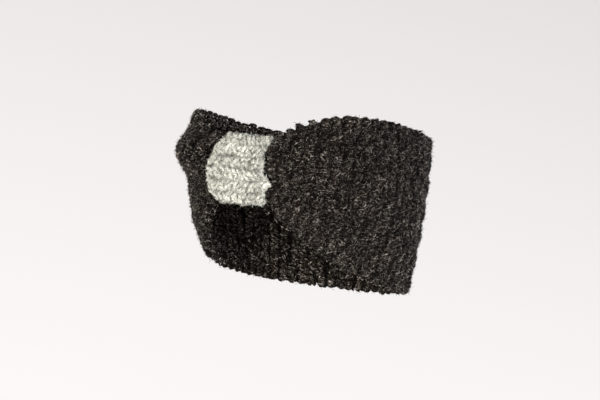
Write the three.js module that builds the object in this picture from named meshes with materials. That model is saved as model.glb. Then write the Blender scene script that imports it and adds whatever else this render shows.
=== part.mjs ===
// Ear warmer headband. A wide charcoal band, crocheted in upright rows, is drawn together at the front
// inside a pale grey sleeve. On each side of the sleeve the band opens into a wing that puffs out over
// the ear, and it lies lower at the nape than at the forehead.
// Millimetres. +Z is up and the sleeve faces -Y. The origin is on the head's axis, level with the
// middle of the sleeve.
import * as THREE from "three";

// The head that the band is worn on, as an oval
const headWidth = 152;
const headLength = 190;

// The charcoal band
const bandWidth = 121; // from edge to edge where it lies open
const bandWall = 5; // thickness of the crocheted wall
const rowPitch = 9; // from one upright rib to the next
const rowRelief = 0.7; // how far a rib stands out of the wall
const edgeScallop = 1; // how far a rib stands out of the top and bottom edges
const flareLength = 29; // the run in which the band opens out beside the sleeve
const backDrop = 29; // how much lower the band's middle lies at the nape
const dropEase = 1.3; // how late on the way round the head that drop comes
const wingPuff = 12; // how far a wing's outer face stands off the head
const foldDepth = 13; // how far the main fold beside the sleeve stands out
const swellRun = 9; // the run in which the band swells out of the sleeve's mouth
const gatherDepth = 6.5; // thickness of the gathered band inside the sleeve

// The pale grey sleeve
const sleeveHeight = 50;
const sleeveLength = 56; // along the head
const sleeveWall = 4;
const sleeveInset = 3; // how far its back presses into the hair
const sleeveDome = 2; // how far its top and bottom lie nearer the head than its middle
const ribRelief = 0.5; // how far a level rib stands out of its face
const fitGap = 0.5; // clearance between the sleeve and the band

// How finely the surfaces are divided
const stationsPerRib = 2;
const sectionSteps = 16; // across the band, and across each face of the sleeve
const sleeveSteps = 10; // along the sleeve
const edgeCrowding = 0.45; // how much closer the steps lie near the edges, from 0 to 1

// The wings' stand-off from the head by share of the way from front to back. The columns are shares of
// wingPuff: at the band's middle, gained from there to the top edge, and lost towards both edges.
const standOff = [
  { at: 0.0, middle: 0.7, lean: 0.3, round: 0.6 },
  { at: 0.26, middle: 1.0, lean: 0.6, round: 0.9 },
  { at: 0.5, middle: 0.85, lean: 0.55, round: 0.8 },
  { at: 0.72, middle: 0.55, lean: 0.4, round: 0.2 },
  { at: 1.0, middle: 0.5, lean: 0.5, round: 0.25 },
];

// The folds that run out of the sleeve's mouths. start is the height at the mouth and spread the
// width, as shares of half the sleeve's height. climb is the rise along a run. left and right are
// depths in each wing as shares of foldDepth, and run is a share of flareLength.
const folds = [
  { start: 0.44, climb: 0.02, spread: 0.54, left: 1.0, right: 0.6, run: 2.0 },
  { start: -0.4, climb: 0.0, spread: 0.3, left: -0.3, right: -0.55, run: 1.1 },
  { start: -0.85, climb: -0.55, spread: 0.5, left: 0.3, right: 0.35, run: 1.4 },
];

// How far the sleeve reaches to each side by level, as shares of half its length. The right mouth is
// pushed back by the two lobes of the band that swell over it.
const mouths = [
  { at: -1.0, left: 0.56, right: 0.76 },
  { at: -0.72, left: 0.7, right: 0.78 },
  { at: -0.42, left: 0.77, right: 0.92 },
  { at: -0.1, left: 0.78, right: 0.74 },
  { at: 0.55, left: 0.64, right: 0.74 },
  { at: 1.0, left: 0.4, right: 0.86 },
];

const headOval = new THREE.EllipseCurve(0, 0, headWidth / 2, headLength / 2, -Math.PI / 2, 1.5 * Math.PI);
headOval.arcLengthDivisions = 720;
const headGirth = headOval.getLength();

// The point that stands out by off from the head at a signed distance along it from the front.
function onHead(along, off, height) {
  const share = THREE.MathUtils.euclideanModulo(along / headGirth, 1);
  const foot = headOval.getPointAt(share);
  const tangent = headOval.getTangentAt(share);
  return new THREE.Vector3(foot.x + off * tangent.y, foot.y - off * tangent.x, height);
}

// The value of a table's column at a place, eased between its rows.
function fromTable(table, column, place) {
  const next = table.findIndex((row) => row.at >= place);
  if (next === 0) return table[0][column];
  if (next < 0) return table[table.length - 1][column];
  const low = table[next - 1];
  const high = table[next];
  const mix = THREE.MathUtils.smoothstep(place, low.at, high.at);
  return THREE.MathUtils.lerp(low[column], high[column], mix);
}

// The levels across a section, from -1 at the bottom to 1 at the top and closer near both.
const levels = Array.from({ length: sectionSteps + 1 }, (_, step) => {
  const turn = -1 + (2 * step) / sectionSteps;
  return THREE.MathUtils.lerp(turn, Math.sin((turn * Math.PI) / 2), edgeCrowding);
});

// Half the thickness of a flat section with round edges, as a share of that at its middle.
function fullness(level, squareness) {
  return Math.sqrt(1 - Math.pow(Math.abs(level), squareness));
}
const gatherSquareness = 3; // of the section inside the sleeve, and of the sleeve
const openSquareness = 8; // of the section of a wing

// Places round a section: up the outer face, then down the inner face.
const roundSection = [
  ...levels.map((level) => ({ level, side: 1 })),
  ...levels.slice(1, -1).reverse().map((level) => ({ level, side: -1 })),
];

// The gathered band inside the sleeve: its middle's stand-off from the head, and half its height
const gatherMiddle = gatherDepth / 2 + fitGap + sleeveWall - sleeveInset;
const gatherHalf = sleeveHeight / 2 - sleeveWall - fitGap;

function sleeveMiddle(level) {
  return gatherMiddle - sleeveDome * level * level;
}

// How much lower the band's middle lies at a distance along the head from the front.
function dropAt(distance) {
  const share = Math.min(1, (2 * distance) / headGirth);
  return backDrop * Math.pow(Math.sin((share * Math.PI) / 2), dropEase);
}

// The distance from the front to a mouth of the sleeve, where wing is -1 for left and 1 for right.
function mouthReach(level, wing) {
  return (sleeveLength / 2) * fromTable(mouths, wing < 0 ? "left" : "right", level);
}

// A point of the band on a wing, out by a run from the sleeve's mouth.
function wingPoint(wing, run, { level, side }, rib) {
  const start = sleeveLength / 2 + fitGap;
  const distance = start + run;
  const share = Math.min(1, (2 * distance) / headGirth);
  const settle = Math.exp(-run / flareLength);
  const open = 1 - settle;
  const swell = THREE.MathUtils.smoothstep(run, 0, swellRun);
  const half = THREE.MathUtils.lerp(gatherHalf, bandWidth / 2, open) + (rib * open * edgeScallop) / 2;
  const height = half * level - (dropAt(distance) - dropAt(start) * settle);
  let outer =
    wingPuff *
    (fromTable(standOff, "middle", share) +
      fromTable(standOff, "lean", share) * level -
      fromTable(standOff, "round", share) * level * level);
  for (const fold of folds) {
    const crest = (fold.start * sleeveHeight) / 2 + fold.climb * run;
    const bell = Math.exp(-Math.pow((height - crest) / ((fold.spread * sleeveHeight) / 2), 2));
    const fade = Math.exp(-Math.pow(run / (fold.run * flareLength), 2));
    outer += (wing < 0 ? fold.left : fold.right) * foldDepth * bell * fade;
  }
  const middle = THREE.MathUtils.lerp(sleeveMiddle(level), outer - bandWall / 2, swell);
  const thick = THREE.MathUtils.lerp(gatherDepth, bandWall, swell);
  const squareness = THREE.MathUtils.lerp(gatherSquareness, openSquareness, swell);
  const off = middle + (side * (thick * fullness(level, squareness) + rib * open * rowRelief)) / 2;
  const along = distance - (sleeveLength / 2 - mouthReach(level, wing)) * settle;
  return onHead(wing * along, off, height);
}

// A point of the sleeve's wall or of what is inside it, at a share of the way from left to right.
function sleevePoint(share, { level, side }, halfHeight, halfDepth, overhang) {
  const left = -mouthReach(level, -1) - overhang;
  const right = mouthReach(level, 1) + overhang;
  const off = sleeveMiddle(level) + side * halfDepth * fullness(level, gatherSquareness);
  return onHead(THREE.MathUtils.lerp(left, right, share), off, halfHeight * level);
}

// A closed surface through a grid of points whose rows and columns both run round.
function closedGrid(rows) {
  const wide = rows[0].length;
  const indices = [];
  for (let i = 0; i < rows.length; i++) {
    const next = (i + 1) % rows.length;
    for (let j = 0; j < wide; j++) {
      const side = (j + 1) % wide;
      const [a, b, c, d] = [i * wide + j, next * wide + j, next * wide + side, i * wide + side];
      indices.push(a, b, c, a, c, d);
    }
  }
  const geometry = new THREE.BufferGeometry().setFromPoints(rows.flat());
  geometry.setIndex(indices);
  geometry.computeVertexNormals();
  return geometry;
}

function charcoalBand() {
  const start = sleeveLength / 2 + fitGap;
  const wingRun = headGirth / 2 - start;
  const stations = Math.round(wingRun / rowPitch) * stationsPerRib;
  const grid = [];
  for (let k = 1; k < sleeveSteps; k++) {
    const place = (at) => sleevePoint(k / sleeveSteps, at, gatherHalf, gatherDepth / 2, fitGap);
    grid.push(roundSection.map(place));
  }
  for (let k = 0; k <= stations; k++) {
    const rib = Math.cos((2 * Math.PI * k) / stationsPerRib);
    grid.push(roundSection.map((at) => wingPoint(1, (wingRun * k) / stations, at, rib)));
  }
  for (let k = stations - 1; k >= 0; k--) {
    const rib = Math.cos((2 * Math.PI * k) / stationsPerRib);
    grid.push(roundSection.map((at) => wingPoint(-1, (wingRun * k) / stations, at, rib)));
  }
  return closedGrid(grid);
}

function greySleeve() {
  const innerDepth = gatherDepth / 2 + fitGap;
  const innerHeight = gatherHalf + fitGap;
  const grid = roundSection.map((at, j) => {
    const rib = ribRelief * (j % 2) * fullness(at.level, 2);
    const outside = [];
    const inside = [];
    for (let k = 0; k <= sleeveSteps; k++) {
      const share = k / sleeveSteps;
      const wall = sleeveWall - rib;
      outside.unshift(sleevePoint(share, at, innerHeight + sleeveWall, innerDepth + wall, 0));
      inside.push(sleevePoint(share, at, innerHeight, innerDepth, 0));
    }
    return [...outside, ...inside];
  });
  return closedGrid(grid);
}

function piece(name, geometry, colour, roughness) {
  const material = new THREE.MeshStandardMaterial({ color: colour, roughness, metalness: 0 });
  const mesh = new THREE.Mesh(geometry, material);
  mesh.name = name;
  return mesh;
}

const headband = new THREE.Group();
headband.add(piece("charcoal_band", charcoalBand(), 0x2e2c2d, 0.95));
headband.add(piece("grey_sleeve", greySleeve(), 0xa9aba6, 0.95));

export default headband;
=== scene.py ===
import math

import bmesh
import bpy
import numpy as np
from mathutils import Matrix, Vector


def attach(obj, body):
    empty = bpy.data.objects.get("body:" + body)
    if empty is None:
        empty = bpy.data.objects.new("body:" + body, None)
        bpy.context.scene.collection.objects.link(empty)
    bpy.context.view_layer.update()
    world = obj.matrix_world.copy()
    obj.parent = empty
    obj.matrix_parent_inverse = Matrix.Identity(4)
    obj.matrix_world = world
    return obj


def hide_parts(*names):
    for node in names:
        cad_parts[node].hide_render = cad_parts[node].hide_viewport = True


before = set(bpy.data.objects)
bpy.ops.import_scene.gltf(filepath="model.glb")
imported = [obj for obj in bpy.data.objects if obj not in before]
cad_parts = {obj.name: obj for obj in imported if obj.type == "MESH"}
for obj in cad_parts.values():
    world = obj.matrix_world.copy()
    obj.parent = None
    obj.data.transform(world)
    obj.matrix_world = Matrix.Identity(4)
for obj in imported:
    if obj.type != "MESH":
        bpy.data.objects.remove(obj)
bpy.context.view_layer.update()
chance = np.random.default_rng(41)

# The oval that the band is worn round, the band and the sleeve, as in the part's source
HEAD_WIDTH = 152
HEAD_LENGTH = 190
BAND_WIDTH = 121
BAND_WALL = 5
FLARE_LENGTH = 29
BACK_DROP = 29
DROP_EASE = 1.3
WING_PUFF = 12
FOLD_DEPTH = 13
SWELL_RUN = {-1: 9, 1: 5.5}  # shorter than in the source on the right, whose stitches bulge out at once
GATHER_DEPTH = 6.5
SLEEVE_HEIGHT = 50
SLEEVE_LENGTH = 56
SLEEVE_WALL = 4
SLEEVE_INSET = 3
SLEEVE_DOME = 2
FIT_GAP = 0.5
SLEEVE_SQUARENESS = 3

STAND_OFF = {
    "at": [0.0, 0.26, 0.5, 0.72, 1.0],
    "middle": [0.7, 1.0, 0.85, 0.55, 0.5],
    "lean": [0.3, 0.6, 0.55, 0.4, 0.5],
    "round": [0.6, 0.9, 0.8, 0.2, 0.25],
}
FOLDS = [
    {"start": 0.44, "climb": 0.02, "spread": 0.54, "left": 1.0, "right": 0.6, "run": 2.0},
    {"start": -0.4, "climb": 0.0, "spread": 0.3, "left": -0.3, "right": -0.55, "run": 1.1},
    {"start": -0.85, "climb": -0.55, "spread": 0.5, "left": 0.3, "right": 0.35, "run": 1.4},
]
MOUTHS = {
    "at": [-1.0, -0.72, -0.42, -0.1, 0.55, 1.0],
    "left": [0.56, 0.7, 0.77, 0.78, 0.64, 0.4],
    "right": [0.76, 0.78, 0.92, 0.74, 0.74, 0.86],
}

# Beside the sleeve the band's edges roll outwards. edge is 1 for the top and -1 for the bottom, deep is
# in millimetres, and wide is a share of half the band's width.
EDGE_ROLLS = [
    {"wing": -1, "edge": 1, "deep": 4.5, "wide": 0.3},
    {"wing": -1, "edge": -1, "deep": 3.5, "wide": 0.4},
    {"wing": 1, "edge": 1, "deep": 1.5, "wide": 0.12},
]
ROLL_RUN = 45

# Soft waves of the cloth: depth, where they start, and from one to the next upwards and along the oval
WAVE_DEPTH = 1.0
WAVE_START = 75
WAVE_RISE = 38
WAVE_RUN = 47
WAVE_WAYS = (1, -0.6)  # how far the two waves lean, and to which side

# The crochet
TUCK = 4  # how far inside the sleeve's mouth the stitches start
ROW_SPOTS = 90  # how many places measure a row
BAND_ROW = 8.93  # from one upright ridge to the next, which is two rows of stitches
SLEEVE_ROWS = 12  # level ridges round the sleeve
FORK = 5.2  # from one forked stitch to the next along a ridge
SLANT = 3.4  # from one slanted strand to the next
ROW_MARGIN = 1.5  # from a ridge's end to its first stitch
YARN = 1.3  # the yarn's radius
BAND_YARN = (0.85, 1.15)  # how that varies in the band
SLEEVE_YARN = (0.85, 1.12)  # in the sleeve
RIM_YARN = (0.8, 1.0)  # and round the sleeve's mouths
YARN_SPAN = 900  # the length of yarn from which each strand takes its streaks
CREST = 4.6  # where a strand's curve heads for over a ridge
CREST_BETWEEN = 0.62  # how high that is between lumps, as a share of it
CREST_SWELL = 0.5  # and how much a lump adds
BAND_DIP = -1.8  # where the strands' feet lie in the band, outwards from a row's base
SLEEVE_DIP = 0.2  # and in the sleeve
ROW_OVERLAP = 1.18  # how wide the sleeve's stitches are for their rows, which they overlap
LUMP = 6.2  # from one lump to the next along a ridge
LUMP_LEAN = 0.7  # how much a lump leans: its rise along the ridge for each step across
SPARE_LUMPS = 4  # how many lumps a ridge's pattern has past each end
LUMP_STRAY = 0.14  # how far a lump strays from its place, as a share of LUMP
LUMP_FLATNESS = 2.5  # how flat a lump's top is, where 1 is a peak
SWING = 1.1  # how far a ridge wanders from its line
SINK = 0.7  # how far the band's stitches lie in from the cloth's own face
SLEEVE_SINK = 1.2  # and the sleeve's, which are pulled flat
STRAY = 0.45  # how far the real yarn strays from the pattern
SLEEVE_STRAY = 0.45  # and how much more it does in the sleeve
LOOP_SWAY = 0.6  # how far a turning loop's points stray
RIM_STITCH = 2.9  # from one stitch to the next round the sleeve's mouths
RIM_SHAPE = [(-1.5, -0.8, 0), (0, 0, 3.4), (1.5, 0.8, 0)]  # a rim stitch, as spread_along takes it
RIM_INSET = {-1: 0.5, 1: 2.0}  # how far inside the left and the right mouth they lie
LOOP_INSET = 1.5  # how far inside the right mouth the sleeve's turning loops lie
PAST_BOTTOM = 2.4  # the farthest that stitches and fibres go past the band's bottom edge
PAST_TOP = 1.6  # and past its top edge
PAST_ROW = 7  # the farthest that they go to each side of their row's middle
CLOTH_WALL = 1.2  # the cloth under the stitches, coloured dark as painted shade between them
CLOTH_SHARE = 0.955  # the share of the band's width that it fills, so that the stitches hide its edges
CLOTH_INSET = 1.5  # how far inside the sleeve's mouths it ends
BAND_GRID = (150, 20)  # divisions of the band's cloth round the oval and up
SLEEVE_GRID = (72, 24)  # divisions of the sleeve's cloth round it and along

# Loose fibres: how many stand on each strand, the longest, the radius, which is some ten times the
# real one so that they show, and the radians by which they stray from the strand
LONG_SHARE = 0.06  # of the fibres, which are longer than the others
LONG_TIMES = 1.7  # how many times longer
FIBRE_LENGTHS = (0.35, 1.0)  # the others' lengths as shares of the longest
FIBRE_WIDTHS = (0.6, 1.3)  # their widths as shares of the radius
FIBRE_ROOTS = (0.12, 0.88)  # where they leave a strand, as shares of its length
FIBRE_TURN = 0.15  # how near to a strand's sides they leave it, in radians
FIBRE_DEPTH = 0.9  # how far out from a strand's middle they start, as a share of its radius
FIBRE_CURL = 0.25  # how far they curl to the side, as a share of their length
FIBRE_LIFT = (0.1, 0.7)  # how far their middles stand off
FIBRE_TIP = (-0.5, 0.55)  # how far their tips stand off, and by how much that strays
OUTER_FUZZ = {"each": 13, "longest": 3.7, "radius": 0.125, "slant": 0.95}
INNER_FUZZ = {"each": 3, "longest": 4.6, "radius": 0.17, "slant": 0.95}
GREY_FUZZ = {"each": 38, "longest": 3.4, "radius": 0.14, "slant": 1.0}

# Scales of the wool's colour: painted shade in a groove, and the darkest and lightest lumps, whose tone
# differs at random. A groove's painted shade differs along it within the range below, as shares of the
# first.
GROOVE_SHADE_RANGE = (0.5, 2.4)
GROOVE_SHADE_WIDTH = 0.3  # the share of a row over which painted shade darkens it towards its groove
SHADE_BETWEEN_LUMPS = 0.3  # painted shade between lumps: how light the wool is there, as a share of that on them
CHARCOAL_GROOVE_SHADE_AND_TONE = (0.1, 0.36, 1.14)
# The inside is lighter than the outside: painted light against the shadow it lies in
INSIDE_PAINTED_LIGHT_AND_SHADE = (0.4, 1.0, 1.9)
GREY_GROOVE_SHADE_AND_TONE = (0.5, 0.84, 0.99)

GATHER_MIDDLE = GATHER_DEPTH / 2 + FIT_GAP + SLEEVE_WALL - SLEEVE_INSET
GATHER_HALF = SLEEVE_HEIGHT / 2 - SLEEVE_WALL - FIT_GAP
MOUTH = SLEEVE_LENGTH / 2 + FIT_GAP

FINE_STEPS = 1441  # places by which the oval and the sleeve's section are measured

# The oval by the distance along it from the front
turn = np.linspace(-math.pi / 2, 1.5 * math.pi, FINE_STEPS)
oval = np.stack([HEAD_WIDTH / 2 * np.cos(turn), HEAD_LENGTH / 2 * np.sin(turn)], axis=1)
walked = np.concatenate([[0], np.cumsum(np.linalg.norm(np.diff(oval, axis=0), axis=1))])
HEAD_GIRTH = walked[-1]
WING_RUN = HEAD_GIRTH / 2 - MOUTH


def stand_on_head(along, off, height):
    """Points that stand out by off from the oval at signed distances along it from the front."""
    angle = np.interp(np.mod(along, HEAD_GIRTH), walked, turn)
    x, y = HEAD_WIDTH / 2 * np.cos(angle), HEAD_LENGTH / 2 * np.sin(angle)
    out_x, out_y = np.cos(angle) / HEAD_WIDTH, np.sin(angle) / HEAD_LENGTH
    size = np.hypot(out_x, out_y)
    return np.stack([x + off * out_x / size, y + off * out_y / size, height], axis=-1)


def eased(share):
    """A share from 0 to 1 that starts and ends softly."""
    return share * share * (3 - 2 * share)


def from_table(table, column, place):
    """A table's column at each place, eased between its rows."""
    at, values = np.array(table["at"]), np.array(table[column])
    place = np.clip(place, at[0], at[-1])
    low = np.clip(np.searchsorted(at, place, side="right") - 1, 0, len(at) - 2)
    mix = (place - at[low]) / (at[low + 1] - at[low])
    return values[low] + (values[low + 1] - values[low]) * eased(mix)


def drop_at(distance):
    """How much lower the band's middle lies at a distance along the oval from the front."""
    share = np.minimum(1, 2 * distance / HEAD_GIRTH)
    return BACK_DROP * np.sin(share * math.pi / 2) ** DROP_EASE


def mouth_reach(level, wing):
    """The distance from the front to a mouth of the sleeve."""
    return SLEEVE_LENGTH / 2 * from_table(MOUTHS, "left" if wing < 0 else "right", level)


def wing_span(run):
    """The height of the band's middle and half its width at a run from the sleeve's mouth."""
    settle = np.exp(-np.maximum(run, 0) / FLARE_LENGTH)
    middle = drop_at(MOUTH) * settle - drop_at(MOUTH + run)
    return middle, GATHER_HALF * settle + BAND_WIDTH / 2 * (1 - settle)


def wing_face(wing, run, height, level, share):
    """How far a wing's outer face stands off the oval."""
    outer = from_table(STAND_OFF, "middle", share) + from_table(STAND_OFF, "lean", share) * level
    outer = WING_PUFF * (outer - from_table(STAND_OFF, "round", share) * level**2)
    for fold in FOLDS:
        crest = fold["start"] * SLEEVE_HEIGHT / 2 + fold["climb"] * run
        bell = np.exp(-(((height - crest) / (fold["spread"] * SLEEVE_HEIGHT / 2)) ** 2))
        fade = np.exp(-((run / (fold["run"] * FLARE_LENGTH)) ** 2))
        outer = outer + fold["left" if wing < 0 else "right"] * FOLD_DEPTH * bell * fade
    for roll in EDGE_ROLLS:
        if roll["wing"] == wing:
            near = ((level - roll["edge"]) / roll["wide"]) ** 2 + (run / ROLL_RUN) ** 2
            outer = outer + roll["deep"] * np.exp(-near)
    # Two waves that cross each other, the second less steep than the first
    first, second = (2 * math.pi * (height / WAVE_RISE + way * run / WAVE_RUN) for way in WAVE_WAYS)
    deep = WAVE_DEPTH * (1 - np.exp(-((run / WAVE_START) ** 2)))
    return outer + deep * np.sin(first) * np.cos(second)


def wing_sheet(wing, run, height):
    """Points of the middle of a wing's wall. wing is 1 for right and -1 for left."""
    distance = MOUTH + run
    share = np.minimum(1, 2 * distance / HEAD_GIRTH)
    settle = np.exp(-np.maximum(run, 0) / FLARE_LENGTH)
    middle, half = wing_span(run)
    level = (height - middle) / half
    outer = wing_face(wing, run, height, level, share)
    swell = eased(np.clip(run / SWELL_RUN[wing], 0, 1))
    inside = GATHER_MIDDLE - SLEEVE_DOME * level**2
    off = inside + (outer - BAND_WALL / 2 - inside) * swell
    along = distance - (SLEEVE_LENGTH / 2 - mouth_reach(level, wing)) * settle
    return stand_on_head(wing * along, off, height)


def off_sheet(sheet, first, second, out, sign):
    """Points of a sheet moved out along its own normal."""
    step = 0.2
    across = sheet(first + step, second) - sheet(first - step, second)
    up = sheet(first, second + step) - sheet(first, second - step)
    normal = sign * np.cross(across, up)
    normal /= np.linalg.norm(normal, axis=-1, keepdims=True)
    return sheet(first, second) + normal * np.asarray(out)[..., None]


def on_wing(wing, run, height, out):
    """Points that stand out from the middle of a wing's wall."""
    return off_sheet(lambda a, b: wing_sheet(wing, a, b), run, height, out, wing)


# The sleeve's section by the distance round it, from the middle of its back over its top
lap = np.linspace(0, 2 * math.pi, FINE_STEPS)
section_level = np.sin(lap)
section_depth = np.sqrt(1 - np.abs(section_level) ** SLEEVE_SQUARENESS) * -np.sign(np.cos(lap))
WALL_HALF = GATHER_HALF + FIT_GAP + SLEEVE_WALL / 2
WALL_DEPTH = GATHER_DEPTH / 2 + FIT_GAP + SLEEVE_WALL / 2
section_off = GATHER_MIDDLE - SLEEVE_DOME * section_level**2 + WALL_DEPTH * section_depth
section = np.stack([section_off, WALL_HALF * section_level], axis=1)
round_section = np.concatenate([[0], np.cumsum(np.linalg.norm(np.diff(section, axis=0), axis=1))])
SLEEVE_GIRTH = round_section[-1]


def sleeve_sheet(along, around):
    """Points of the middle of the sleeve's wall, by distance along the oval and round the section."""
    place = np.mod(around, SLEEVE_GIRTH)
    off = np.interp(place, round_section, section[:, 0])
    return stand_on_head(along, off, np.interp(place, round_section, section[:, 1]))


def on_sleeve(along, around, out):
    """Points that stand out from the middle of the sleeve's wall."""
    return off_sheet(sleeve_sheet, along, around, out, -1)


def spindle(around, along):
    """The points and triangles of a unit sphere with its poles on Z."""
    mesh = bmesh.new()
    bmesh.ops.create_uvsphere(mesh, u_segments=around, v_segments=along, radius=1)
    bmesh.ops.triangulate(mesh, faces=mesh.faces)
    mesh.verts.index_update()
    points = np.array([v.co[:] for v in mesh.verts])
    faces = np.array([[v.index for v in f.verts] for f in mesh.faces])
    mesh.free()
    return points, faces


OUTER_STRAND = spindle(6, 5)
INNER_STRAND = spindle(5, 4)
SLEEVE_STRAND = spindle(7, 6)
FIBRE_STRAND = spindle(3, 2)
BULGE = 0.55  # how soon a strand reaches its full thickness: 1 is a sphere's way
TWIST = 0.9  # radians that the plies turn in each millimetre of yarn


def frame_along(start, bend, end, t):
    """The centre of curves of three points at t, with unit vectors ahead, to the side and outwards."""
    centre = (1 - t) ** 2 * start + 2 * t * (1 - t) * bend + t**2 * end
    ahead = 2 * (1 - t) * (bend - start) + 2 * t * (end - bend)
    ahead /= np.linalg.norm(ahead, axis=-1, keepdims=True) + 1e-9
    side = np.cross(ahead, [0.0, 0.0, 1.0])
    side /= np.linalg.norm(side, axis=-1, keepdims=True) + 1e-9
    return centre, ahead, side, np.cross(side, ahead)


def strands(curves, radius, shape, place, lump_tone_and_painted_shade):
    """Strands along curves of three points.

    Gives their points and triangles, and by point the place in the yarn, the tone, and the lump tone with
    painted shade.
    """
    points, faces = shape
    count = len(points)
    share = (points[:, 2] + 1) / 2
    start, bend, end = (curves[:, i, None, :] for i in range(3))
    centre, ahead, side, over = frame_along(start, bend, end, share[None, :, None])
    ring = np.hypot(points[:, 0], points[:, 1])
    full = np.maximum(ring, 1e-6) ** (BULGE - 1)
    thick = np.asarray(radius).reshape(-1, 1)
    x, y = points[:, 0] * full * thick, points[:, 1] * full * thick
    placed = centre + x[..., None] * side + y[..., None] * over
    length = np.linalg.norm(curves[:, 2] - curves[:, 0], axis=-1)[:, None]
    along = share * length + chance.uniform(0, YARN_SPAN, (len(curves), 1))
    spin = along * TWIST
    yarn = [x * np.cos(spin) - y * np.sin(spin), x * np.sin(spin) + y * np.cos(spin), along]
    triangles = (faces[None] + count * np.arange(len(curves))[:, None, None]).reshape(-1, 3)
    tone = np.repeat(chance.uniform(0, 1, len(curves)), count)
    across, up, out = (placed[..., i].ravel() for i in range(3))
    xyz = place(across, up, out)
    first, second, third = (xyz[triangles[:, i]] for i in range(3))
    if np.sum(first * np.cross(second, third)) < 0:
        triangles = triangles[:, ::-1]
    return xyz, triangles, np.stack(yarn, axis=-1).reshape(-1, 3), tone, lump_tone_and_painted_shade(across, up)


def yarn_fibres(curves, radius, fuzz, face, place, lump_tone_and_painted_shade, stretch=lambda up: 1):
    """Loose fibres that leave the outward side of strands, most of them nearly along their strand."""
    pick = np.repeat(np.arange(len(curves)), fuzz["each"])
    count = len(pick)
    start, bend, end = (curves[pick, i] for i in range(3))
    root, ahead, side, over = frame_along(start, bend, end, chance.uniform(*FIBRE_ROOTS, (count, 1)))
    angle = face * chance.uniform(FIBRE_TURN, math.pi - FIBRE_TURN, (count, 1))
    out = np.cos(angle) * side + np.sin(angle) * over
    round_it = np.cross(ahead, out)
    slant = chance.normal(0, fuzz["slant"], (count, 1)) + math.pi * chance.integers(0, 2, (count, 1))
    way = np.cos(slant) * ahead + np.sin(slant) * round_it
    length = fuzz["longest"] * chance.uniform(*FIBRE_LENGTHS, (count, 1))
    length *= np.where(chance.uniform(0, 1, (count, 1)) < LONG_SHARE, LONG_TIMES, 1)
    thick = np.asarray(radius)[pick][:, None]
    first = root + out * thick * FIBRE_DEPTH
    curl = np.cross(way, out) * chance.normal(0, FIBRE_CURL, (count, 1)) * length
    middle = first + way * length * 0.5 + out * chance.uniform(*FIBRE_LIFT, (count, 1)) + curl
    last = first + way * length + out * chance.normal(*FIBRE_TIP, (count, 1))
    paths = np.stack([first, middle, last], axis=1)
    # Where the cloth is stretched across, the fibres aren't
    paths[:, 1:, 0] -= (paths[:, 1:, 0] - first[:, :1]) * (1 - 1 / stretch(first[:, 1:2]))
    return strands(paths, fuzz["radius"] * chance.uniform(*FIBRE_WIDTHS, count), FIBRE_STRAND, place, lump_tone_and_painted_shade)


def write_mesh(name, parts, material):
    """One object from strands, in metres."""
    starts = np.cumsum([0] + [len(p[0]) for p in parts])
    points = np.concatenate([p[0] for p in parts]) * 0.001
    faces = np.concatenate([p[1] + start for p, start in zip(parts, starts)])
    mesh = bpy.data.meshes.new(name)
    mesh.vertices.add(len(points))
    mesh.vertices.foreach_set("co", points.astype(np.float32).ravel())
    mesh.loops.add(faces.size)
    mesh.loops.foreach_set("vertex_index", faces.astype(np.int32).ravel())
    mesh.polygons.add(len(faces))
    mesh.polygons.foreach_set("loop_start", np.arange(0, faces.size, 3, dtype=np.int32))
    mesh.update(calc_edges=True)
    mesh.polygons.foreach_set("use_smooth", np.ones(len(faces), dtype=bool))
    kinds = {"yarn_place": "FLOAT_VECTOR", "tone": "FLOAT", "lump_tone_and_painted_shade": "FLOAT"}
    for column, (label, kind) in enumerate(kinds.items(), 2):
        key = "vector" if kind == "FLOAT_VECTOR" else "value"
        values = np.concatenate([p[column] for p in parts]).astype(np.float32)
        mesh.attributes.new(label, kind, "POINT").data.foreach_set(key, values.ravel())
    mesh.materials.append(material)
    made = bpy.data.objects.new(name, mesh)
    bpy.context.scene.collection.objects.link(made)
    return made


def spread_along(shape, length, spacing):
    """One strand's curve repeated along a row, each copy a little off. Along the row it is in spacings."""
    count = max(3, round((length - 2 * ROW_MARGIN) / spacing))
    gap = (length - 2 * ROW_MARGIN) / count
    curves = np.array(shape) * [1, gap, 1] + chance.normal(0, STRAY, (count, 3, 3))
    curves[:, :, 1] += ROW_MARGIN + gap * (np.arange(count)[:, None] + 0.5)
    return curves


def ridge(length, row, lean, dip):
    """The two rows of stitches that make one ridge, as curves of (across the ridge, along it, out).

    One row's stitches are forks of two arms that open upwards, and the other's are single slants.
    """
    fork = []
    # Each arm's foot, middle and tip, along the ridge in spacings
    for side in (-1, 1):
        foot, mid, tip = (0.05 * side, 0.26 * side + 0.12 * lean, 0.42 * side + 0.25 * lean)
        arm = [(-0.5 * row, foot, dip), (-0.25 * row, mid, CREST), (0.06 * row, tip, 1.2)]
        fork.append(spread_along(arm, length, FORK))
    tilt = 0.62 * lean
    root = (-0.05 * row, -tilt, 1.3)
    slant = spread_along([root, (0.25 * row, 0, CREST), (0.5 * row, tilt, dip)], length, SLANT)
    return np.concatenate([*fork, slant])


def row_ends(row, length, out):
    """The turning loops at both ends of a row, which scallop the edge, more at the bottom.

    At each end one loop goes round the edge from side to side, and one comes over it from the front.
    """
    half = row / 2
    bottom, top_end = 1.2, length - 1
    curves = []
    for end, way, deep in ((bottom, -1, 2.0), (top_end, 1, 1.0)):
        sway = chance.normal(0, LOOP_SWAY, 5)
        top = end + way * (deep + sway[3])
        turned = [(-1.05 * half, end - way * (deep + sway[4]), out * 0.4), (sway[0], top, out * 0.8)]
        turned.append((1.05 * half, end - way * (deep + sway[2]), out * 0.4))
        over = [(0.45 * half, end - way * 5, out * 2.2), (0.2 * half + sway[1], top - way, out * 0.9)]
        over.append((-0.4 * half, end - way * 1.5, out * 0.2))
        curves += [turned, over]
    return np.array(curves)


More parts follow.
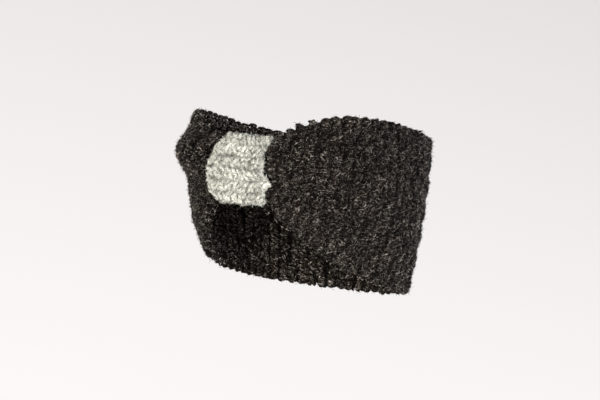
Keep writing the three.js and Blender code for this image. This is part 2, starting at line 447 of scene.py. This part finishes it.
def lumps_of(length, row, lean, groove_shade, low, high):
    """How a ridge wanders, its lumps' swell, and its random lump tone with painted shade by place on it."""
    count = int(length / LUMP) + 1 + 2 * SPARE_LUMPS
    places = np.arange(count) - SPARE_LUMPS
    knots = (places + chance.uniform(0, 1) + chance.normal(0, LUMP_STRAY, count)) * LUMP
    values = chance.uniform(low, high, count)
    swings = chance.normal(0, SWING, count)
    groove_shades = chance.uniform(GROOVE_SHADE_RANGE[0] * groove_shade, GROOVE_SHADE_RANGE[1] * groove_shade, count)

    def swing(up):
        return np.interp(up, knots, swings)

    def swell(across, up):
        phase = np.interp(up - lean * LUMP_LEAN * across, knots, np.arange(count))
        nearest = np.round(phase).astype(int)
        return 1 - np.abs(2 * (phase - nearest)) ** LUMP_FLATNESS, values[nearest]

    # Painted shade: darker towards the groove and between lumps, times each lump's random tone
    def lump_tone_and_painted_shade(across, up):
        near = eased(np.clip((0.5 - np.abs(across - swing(up)) / row) / GROOVE_SHADE_WIDTH, 0, 1))
        on_lump, value = swell(across, up)
        painted_dark = np.minimum(1, np.interp(up, knots, groove_shades))
        return (painted_dark + (1 - painted_dark) * near * (SHADE_BETWEEN_LUMPS + (1 - SHADE_BETWEEN_LUMPS) * on_lump)) * value

    return swing, swell, lump_tone_and_painted_shade


fine_run = np.linspace(-TUCK, WING_RUN, 1200)


def row_starts(wing):
    """Where a wing's upright rows start, so that each is as wide as the last on the swelling cloth."""
    middle, half = wing_span(fine_run)
    levels = (-0.8, -0.4, 0, 0.4, 0.8)
    spread = 0
    for level in levels:
        step = np.diff(wing_sheet(wing, fine_run, middle + half * level), axis=0)
        spread = spread + np.linalg.norm(step, axis=1) / len(levels)
    reach = np.concatenate([[0], np.cumsum(spread)])
    rows = round(reach[-1] / BAND_ROW)
    return np.interp(np.linspace(0, reach[-1], rows + 1), reach, fine_run)


def measure_row(wing, run):
    """Heights up a wing's row, and the distance along the cloth to each of them."""
    middle, half = wing_span(run)
    heights = np.linspace(middle - half, middle + half, ROW_SPOTS)
    spots = wing_sheet(wing, np.full(ROW_SPOTS, run), heights)
    return heights, np.concatenate([[0], np.cumsum(np.linalg.norm(np.diff(spots, axis=0), axis=1))])


def row_widths(wing, low, high, heights):
    """How wide a wing's row really is at each height, as a share of BAND_ROW."""
    sides = [wing_sheet(wing, np.full(ROW_SPOTS, run), heights) for run in (low, high)]
    return np.maximum(0.5, np.linalg.norm(sides[1] - sides[0], axis=1) / BAND_ROW)


def wing_rows(wing, face, shape, fuzz):
    """The stitches on one face of a wing, and their fibres.

    face is 1 for the wing's outside and -1 for its inside.
    """
    starts = row_starts(wing)
    stitches, fibres = [], []
    for low, high in zip(starts[:-1], starts[1:]):
        run = (low + high) / 2
        heights, reach = measure_row(wing, run)
        widths = row_widths(wing, low, high, heights)
        length = reach[-1]
        # Inside, the wool is painted lighter against the shadow there, with the same painted groove shade
        painted_shade_and_tones = CHARCOAL_GROOVE_SHADE_AND_TONE if face > 0 else INSIDE_PAINTED_LIGHT_AND_SHADE
        swing, swell, lump_tone_and_painted_shade = lumps_of(length, BAND_ROW, wing, *painted_shade_and_tones)
        curves = ridge(length, BAND_ROW, wing, BAND_DIP)
        curves[:, 1, 2] *= CREST_BETWEEN + CREST_SWELL * swell(curves[:, 1, 0], curves[:, 1, 1])[0]
        curves[:, :, 2] *= face
        ends = row_ends(BAND_ROW, length, face)
        curves = np.concatenate([curves, ends if face > 0 else ends[1::2]])
        curves[:, :, 0] += swing(curves[:, :, 1])
        thick = YARN * chance.uniform(*BAND_YARN, len(curves))
        # Past both edges the heights go on as far as the stitches do
        far_reach = np.concatenate([[-PAST_BOTTOM], reach, [length + PAST_TOP]])
        far_heights = np.concatenate([[heights[0] - PAST_BOTTOM], heights, [heights[-1] + PAST_TOP]])

        def place(across, up, out):
            height = np.interp(up, far_reach, far_heights)
            along = run + np.clip(across, -PAST_ROW, PAST_ROW) * (high - low) / BAND_ROW
            return on_wing(wing, along, height, out - face * SINK)

        def stretch(up):
            return np.interp(up, reach, widths)

        stitches.append(strands(curves, thick, shape, place, lump_tone_and_painted_shade))
        fibres.append(yarn_fibres(curves, thick, fuzz, face, place, lump_tone_and_painted_shade, stretch))
    return stitches, fibres


def even_shade(across, up):
    """The wool's own colour everywhere."""
    return np.ones(len(across))


def sleeve_rows(shape, fuzz):
    """The stitches on the outside of the sleeve and their fibres.

    They lie in level rows from mouth to mouth, and one row of rim stitches goes round each mouth.
    """
    row = SLEEVE_GIRTH / SLEEVE_ROWS
    stitches, fibres = [], []
    for k in range(SLEEVE_ROWS):
        around = row * (k + 0.5)
        level = np.interp(around, round_section, section_level)
        left, right = -mouth_reach(level, -1), mouth_reach(level, 1)
        length = right - left
        # Every third row leans the other way
        lean = 1 if k % 3 else -1
        swing, swell, lump_tone_and_painted_shade = lumps_of(length, row, lean, *GREY_GROOVE_SHADE_AND_TONE)
        curves = ridge(length, ROW_OVERLAP * row, lean, SLEEVE_DIP)
        # The right mouth alone shows its turning loops
        curves = np.concatenate([curves, row_ends(row, length - LOOP_INSET, 1)[2:]])
        curves[:, :, 0] += swing(curves[:, :, 1])
        curves += chance.normal(0, SLEEVE_STRAY, curves.shape)
        thick = YARN * chance.uniform(*SLEEVE_YARN, len(curves))

        def place(across, up, out):
            return on_sleeve(left + up, around - across, out - SLEEVE_SINK)

        stitches.append(strands(curves, thick, shape, place, lump_tone_and_painted_shade))
        fibres.append(yarn_fibres(curves, thick, fuzz, 1, place, lump_tone_and_painted_shade))
    for wing, inset in RIM_INSET.items():
        curves = spread_along(RIM_SHAPE, SLEEVE_GIRTH, RIM_STITCH)
        thick = YARN * chance.uniform(*RIM_YARN, len(curves))

        def place(across, up, out):
            level = np.interp(np.mod(up, SLEEVE_GIRTH), round_section, section_level)
            rim = wing * (mouth_reach(level, wing) - inset)
            return on_sleeve(rim + across, up, out - SLEEVE_SINK)

        stitches.append(strands(curves, thick, shape, place, even_shade))
        fibres.append(yarn_fibres(curves, thick, fuzz, 1, place, even_shade))
    return stitches, fibres


def cloth(name, steps, place, material):
    """A sheet made from a grid that place puts on the form, closed into a ring, with its wall."""
    mesh = bmesh.new()
    bmesh.ops.create_grid(mesh, x_segments=steps[0], y_segments=steps[1], size=0.5)
    spots = np.array([v.co[:2] for v in mesh.verts]) + 0.5
    for vertex, spot in zip(mesh.verts, place(spots[:, 0], spots[:, 1]) * 0.001):
        vertex.co = spot
    bmesh.ops.remove_doubles(mesh, verts=mesh.verts, dist=1e-6)
    bmesh.ops.recalc_face_normals(mesh, faces=mesh.faces)
    bmesh.ops.solidify(mesh, geom=mesh.faces[:], thickness=CLOTH_WALL * 0.001)
    if mesh.calc_volume(signed=True) < 0:
        bmesh.ops.reverse_faces(mesh, faces=mesh.faces)
    for face in mesh.faces:
        face.smooth = True
    data = bpy.data.meshes.new(name)
    mesh.to_mesh(data)
    mesh.free()
    data.materials.append(material)
    made = bpy.data.objects.new(name, data)
    bpy.context.scene.collection.objects.link(made)
    return made


def band_cloth_place(round_share, up_share):
    """The whole band's cloth: through the sleeve, round one wing to the nape and back by the other."""
    close = 1e-6
    along = round_share * 2 * (MOUTH + WING_RUN) - MOUTH
    level = (up_share * 2 - 1) * CLOTH_SHARE
    spots = np.zeros((len(along), 3))
    inside = along < MOUTH - close
    share = (along[inside] + MOUTH) / (2 * MOUTH)
    left = -mouth_reach(level[inside], -1) - FIT_GAP
    right = mouth_reach(level[inside], 1) + FIT_GAP
    off = GATHER_MIDDLE - SLEEVE_DOME * level[inside] ** 2
    spots[inside] = stand_on_head(left + (right - left) * share, off, GATHER_HALF * level[inside])
    for wing in (1, -1):
        run = along - MOUTH if wing > 0 else 2 * WING_RUN - (along - MOUTH)
        here = ~inside & (run <= WING_RUN + close) & (run >= -close)
        middle, half = wing_span(run[here])
        out = np.full(here.sum(), CLOTH_WALL / 2)
        spots[here] = on_wing(wing, run[here], middle + half * level[here], out)
    return spots


def sleeve_cloth_place(round_share, along_share):
    """The sleeve's cloth: round its section, and along it from mouth to mouth."""
    around = round_share * SLEEVE_GIRTH
    level = np.interp(around, round_section, section_level)
    left = CLOTH_INSET - mouth_reach(level, -1)
    right = mouth_reach(level, 1) - CLOTH_INSET
    along = left + (right - left) * along_share
    return on_sleeve(along, around, np.full(len(around), CLOTH_WALL / 2))


def linear(code):
    """An sRGB hex colour as linear RGBA."""
    parts = [int(code[i : i + 2], 16) / 255 for i in (1, 3, 5)]
    return [c / 12.92 if c <= 0.04045 else ((c + 0.055) / 1.055) ** 2.4 for c in parts] + [1.0]


def add(tree, kind, inputs=(), stops=(), **settings):
    """Adds a node with its settings, its inputs and a ramp's stops. An input is a value or an output."""
    node = tree.nodes.new(kind)
    for name, value in settings.items():
        setattr(node, name, value)
    for name, value in dict(inputs).items():
        if isinstance(value, bpy.types.NodeSocket):
            tree.links.new(value, node.inputs[name])
        else:
            node.inputs[name].default_value = value
    for _ in stops[2:]:
        node.color_ramp.elements.new(0.5)
    for k, (place, code) in enumerate(stops):
        node.color_ramp.elements[k].position = place
        node.color_ramp.elements[k].color = linear(code)
    return node


def new_material(name):
    material = bpy.data.materials.new(name)
    material.use_nodes = True
    tree = material.node_tree
    shader = next(n for n in tree.nodes if n.type == "BSDF_PRINCIPLED")
    return material, tree, shader


def set_wool(shader, roughness, gloss, sheen, tint):
    shader.inputs["Roughness"].default_value = roughness
    shader.inputs["IOR"].default_value = 1.54
    shader.inputs["Specular IOR Level"].default_value = gloss
    shader.inputs["Sheen Weight"].default_value = sheen
    shader.inputs["Sheen Roughness"].default_value = 0.5
    shader.inputs["Sheen Tint"].default_value = linear(tint)


def with_painted_shade(tree, colour):
    """A colour scaled by the stitch's random lump tone and its painted shade in grooves and between lumps.
    """
    lump_tone_and_painted_shade = add(tree, "ShaderNodeAttribute", attribute_name="lump_tone_and_painted_shade").outputs["Fac"]
    scaled = add(tree, "ShaderNodeVectorMath", {0: colour, "Scale": lump_tone_and_painted_shade}, operation="SCALE")
    return scaled.outputs["Vector"]


def spun_wool(name, stops, gloss, sheen, tint):
    """Heather wool yarn, spun from dark and light fibres, which run along it in a slow twist."""
    material, tree, shader = new_material(name)
    yarn = add(tree, "ShaderNodeAttribute", attribute_name="yarn_place").outputs["Vector"]
    # Fibres are 0.03 mm thick. The streaks are drawn about 1 mm wide and 3 mm long, so that they show.
    long = add(tree, "ShaderNodeMapping", {"Vector": yarn, "Scale": (1.1, 1.1, 0.3)}).outputs["Vector"]
    uneven = {"Vector": long, "Scale": 1.0, "Detail": 3.0, "Roughness": 0.6}
    streak = add(tree, "ShaderNodeTexNoise", uneven).outputs["Fac"]
    colour = add(tree, "ShaderNodeValToRGB", {"Fac": streak}, stops).outputs["Color"]
    tree.links.new(with_painted_shade(tree, colour), shader.inputs["Base Color"])
    bump = add(tree, "ShaderNodeBump", {"Height": streak, "Strength": 0.6, "Distance": 0.0006})
    tree.links.new(bump.outputs["Normal"], shader.inputs["Normal"])
    set_wool(shader, 0.92, gloss, sheen, tint)
    return material


def gap_shade_cloth(name, stops, gloss, sheen, tint):
    """The cloth under the stitches: its colour, darker than the yarn, is painted shade in the gaps between
    them.
    """
    material, tree, shader = new_material(name)
    place = add(tree, "ShaderNodeTexCoord").outputs["Object"]
    # Tufts about 1 mm wide
    tufts = {"Vector": place, "Scale": 900.0, "Detail": 2.0}
    felt = add(tree, "ShaderNodeTexNoise", tufts).outputs["Fac"]
    colour = add(tree, "ShaderNodeValToRGB", {"Fac": felt}, stops).outputs["Color"]
    tree.links.new(colour, shader.inputs["Base Color"])
    bump = add(tree, "ShaderNodeBump", {"Height": felt, "Strength": 0.5, "Distance": 0.0004})
    tree.links.new(bump.outputs["Normal"], shader.inputs["Normal"])
    set_wool(shader, 0.95, gloss, sheen, tint)
    return material


def fibre_wool(name, stops, gloss, sheen, tint):
    """Single loose fibres. Each has one tone, from the dark ones of the blend to the white ones."""
    material, tree, shader = new_material(name)
    tone = add(tree, "ShaderNodeAttribute", attribute_name="tone").outputs["Fac"]
    colour = add(tree, "ShaderNodeValToRGB", {"Fac": tone}, stops).outputs["Color"]
    tree.links.new(with_painted_shade(tree, colour), shader.inputs["Base Color"])
    set_wool(shader, 0.8, gloss, sheen, tint)
    return material


CHARCOAL_YARN = [(0.4, "#060402"), (0.5, "#130e0a"), (0.57, "#2b2622"), (0.66, "#706a65")]
CHARCOAL_FIBRE = [(0.0, "#0c0805"), (0.3, "#1e1712"), (0.62, "#5a514a"), (1.0, "#c6bcb3")]
GREY_YARN = [(0.38, "#87867d"), (0.5, "#b2b1a7"), (0.62, "#d4d3ca")]
GREY_FIBRE = [(0.0, "#24231d"), (0.28, "#6e6d63"), (0.5, "#bfbeb2"), (1.0, "#f8f8ef")]
# The cloths' colours, darker than the yarns as painted shade between the stitches
CHARCOAL_GAP_SHADE = [(0.35, "#060403"), (0.7, "#0f0b0a")]
GREY_GAP_SHADE = [(0.35, "#5a574e"), (0.7, "#7d7a70")]
charcoal_yarn = spun_wool("charcoal_heather_yarn", CHARCOAL_YARN, 0.03, 0.01, "#8c8884")
charcoal_gap_shade = gap_shade_cloth("charcoal_cloth_painted_shade", CHARCOAL_GAP_SHADE, 0.02, 0.0, "#6a6662")
charcoal_fibre = fibre_wool("charcoal_blend_fibres", CHARCOAL_FIBRE, 0.05, 0.02, "#b3afab")
grey_yarn = spun_wool("pale_grey_heather_yarn", GREY_YARN, 0.2, 0.15, "#ffffff")
grey_gap_shade = gap_shade_cloth("pale_grey_cloth_painted_shade", GREY_GAP_SHADE, 0.1, 0.05, "#ffffff")
grey_fibre = fibre_wool("pale_grey_blend_fibres", GREY_FIBRE, 0.2, 0.1, "#ffffff")

band_cloth = cloth("charcoal_cloth", BAND_GRID, band_cloth_place, charcoal_gap_shade)
sleeve_cloth = cloth("sleeve_cloth", SLEEVE_GRID, sleeve_cloth_place, grey_gap_shade)
band_work = []
for wing, side in ((1, "right"), (-1, "left")):
    stitches, fibres = wing_rows(wing, 1, OUTER_STRAND, OUTER_FUZZ)
    band_work.append(write_mesh(side + "_wing_stitches", stitches, charcoal_yarn))
    band_work.append(write_mesh(side + "_wing_fibres", fibres, charcoal_fibre))
    stitches, fibres = wing_rows(wing, -1, INNER_STRAND, INNER_FUZZ)
    band_work.append(write_mesh(side + "_wing_inside_stitches", stitches, charcoal_yarn))
    band_work.append(write_mesh(side + "_wing_inside_fibres", fibres, charcoal_fibre))
stitches, fibres = sleeve_rows(SLEEVE_STRAND, GREY_FUZZ)
sleeve_work = [write_mesh("sleeve_stitches", stitches, grey_yarn)]
sleeve_work.append(write_mesh("sleeve_fibres", fibres, grey_fibre))

# The cloths stand in for the two solids, and all the rest lies on them
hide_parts("charcoal_band")
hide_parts("grey_sleeve")
for piece in [band_cloth, *band_work]:
    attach(piece, "root")
for piece in [sleeve_cloth, *sleeve_work]:
    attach(piece, "root")

# The stage is a round floor of paper, well below the headband, whose rim turns up into a wall
FLOOR = -0.5
FLOOR_RADIUS = 2.2
RIM_RADIUS = 1
WALL_TOP = 3
FLOOR_STEPS = 96
RIM_TURNS = np.linspace(0.15, math.pi / 2, 10)
PAPER_GLOW = 0.818  # level with the origin
PAPER_PAINTED_FALLOFF = (-0.023, -0.01, -0.165)  # painted light: the glow's gain in a metre, lighter low down and to the left


def studio_paper():
    """Matt paper. It glows a little by itself to stay pale from all sides, with a painted light falloff."""
    paper, tree, shader = new_material("pale_studio_paper")
    shader.inputs["Base Color"].default_value = linear("#454443")
    shader.inputs["Emission Color"].default_value = linear("#fdfaf9")
    shader.inputs["Roughness"].default_value = 0.95
    shader.inputs["Specular IOR Level"].default_value = 0.1
    place = add(tree, "ShaderNodeTexCoord").outputs["Object"]
    gain = add(tree, "ShaderNodeVectorMath", {0: place, 1: PAPER_PAINTED_FALLOFF}, operation="DOT_PRODUCT")
    glow = add(tree, "ShaderNodeMath", {0: gain.outputs["Value"], 1: PAPER_GLOW}, operation="ADD")
    tree.links.new(glow.outputs["Value"], shader.inputs["Emission Strength"])
    return paper


def studio_floor():
    """The floor and its wall, spun from their profile."""
    profile = [(0, FLOOR), (FLOOR_RADIUS, FLOOR)]
    for turned in RIM_TURNS:
        rise = RIM_RADIUS * (1 - math.cos(turned))
        profile.append((FLOOR_RADIUS + RIM_RADIUS * math.sin(turned), FLOOR + rise))
    profile.append((FLOOR_RADIUS + RIM_RADIUS, WALL_TOP))
    mesh = bmesh.new()
    points = [mesh.verts.new((x, 0, z)) for x, z in profile]
    edges = [mesh.edges.new(pair) for pair in zip(points[:-1], points[1:])]
    full = {"angle": 2 * math.pi, "steps": FLOOR_STEPS, "use_merge": True}
    bmesh.ops.spin(mesh, geom=points + edges, axis=(0, 0, 1), cent=(0, 0, 0), **full)
    bmesh.ops.remove_doubles(mesh, verts=mesh.verts, dist=1e-5)
    bmesh.ops.recalc_face_normals(mesh, faces=mesh.faces)
    for face in mesh.faces:
        face.smooth = True
    if sum(face.normal.z for face in mesh.faces) < 0:
        bmesh.ops.reverse_faces(mesh, faces=mesh.faces)
    data = bpy.data.meshes.new("studio_floor")
    mesh.to_mesh(data)
    mesh.free()
    data.materials.append(studio_paper())
    made = bpy.data.objects.new("studio_floor", data)
    bpy.context.scene.collection.objects.link(made)
    made.visible_shadow = False
    made.visible_diffuse = False
    return made


studio_floor()


def soft_light(name, place, width, watts, colour):
    """A round soft light that faces the origin."""
    data = bpy.data.lights.new(name, "AREA")
    data.shape = "DISK"
    data.size = width
    data.energy = watts
    data.color = linear(colour)[:3]
    lamp = bpy.data.objects.new(name, data)
    lamp.location = place
    lamp.rotation_mode = "QUATERNION"
    lamp.rotation_quaternion = (-Vector(place)).to_track_quat("-Z", "Y")
    bpy.context.scene.collection.objects.link(lamp)


# Places and widths in metres, and watts
soft_light("key_light", (0.25, -2.15, -0.45), 0.6, 51, "#fffcf5")
soft_light("right_fill", (2.0, -0.7, 0.25), 1.6, 62, "#fafbff")
soft_light("left_fill", (-2.2, -0.3, 0.15), 1.2, 50, "#fafbff")
soft_light("floor_bounce", (0.2, -1.5, -0.9), 1.0, 25, "#fffdf8")
soft_light("rear_light", (0.9, 2.2, 0.4), 1.4, 60, "#fafbff")

world = bpy.data.worlds.new("studio_air")
world.use_nodes = True
background = next(n for n in world.node_tree.nodes if n.type == "BACKGROUND")
background.inputs["Color"].default_value = linear("#fbfafa")
background.inputs["Strength"].default_value = 0.46
bpy.context.scene.world = world
bpy.context.scene.view_settings.view_transform = "Standard"

# The camera stands level, 33 degrees from the front towards +X, and is turned a little about its line
# of sight.
AZIMUTH = math.radians(33)
ROLL = math.radians(4.5)
DISTANCE = 1.4
PIXEL = 0.00077  # metres in the picture's plane at the origin
PICTURE_WIDTH = 600  # pixels
CAMERA_LEFT = 10  # pixels that it stands to the left of the origin
CAMERA_LOW = 25  # pixels that it stands lower than the origin
SENSOR = 36  # millimetres

camera_data = bpy.data.cameras.new("camera")
camera_data.sensor_width = SENSOR
camera_data.lens = SENSOR * DISTANCE / (PICTURE_WIDTH * PIXEL)
camera = bpy.data.objects.new("camera", camera_data)
backwards = Vector((math.sin(AZIMUTH), -math.cos(AZIMUTH), 0))
rightwards = Vector((math.cos(AZIMUTH), math.sin(AZIMUTH), 0))
upwards = Vector((0, 0, 1))
camera.location = backwards * DISTANCE - (rightwards * CAMERA_LEFT + upwards * CAMERA_LOW) * PIXEL
level_aim = (-backwards).to_track_quat("-Z", "Y").to_matrix().to_4x4()
camera.rotation_mode = "QUATERNION"
camera.rotation_quaternion = (Matrix.Rotation(ROLL, 4, backwards) @ level_aim).to_quaternion()
bpy.context.scene.collection.objects.link(camera)
bpy.context.scene.camera = camera
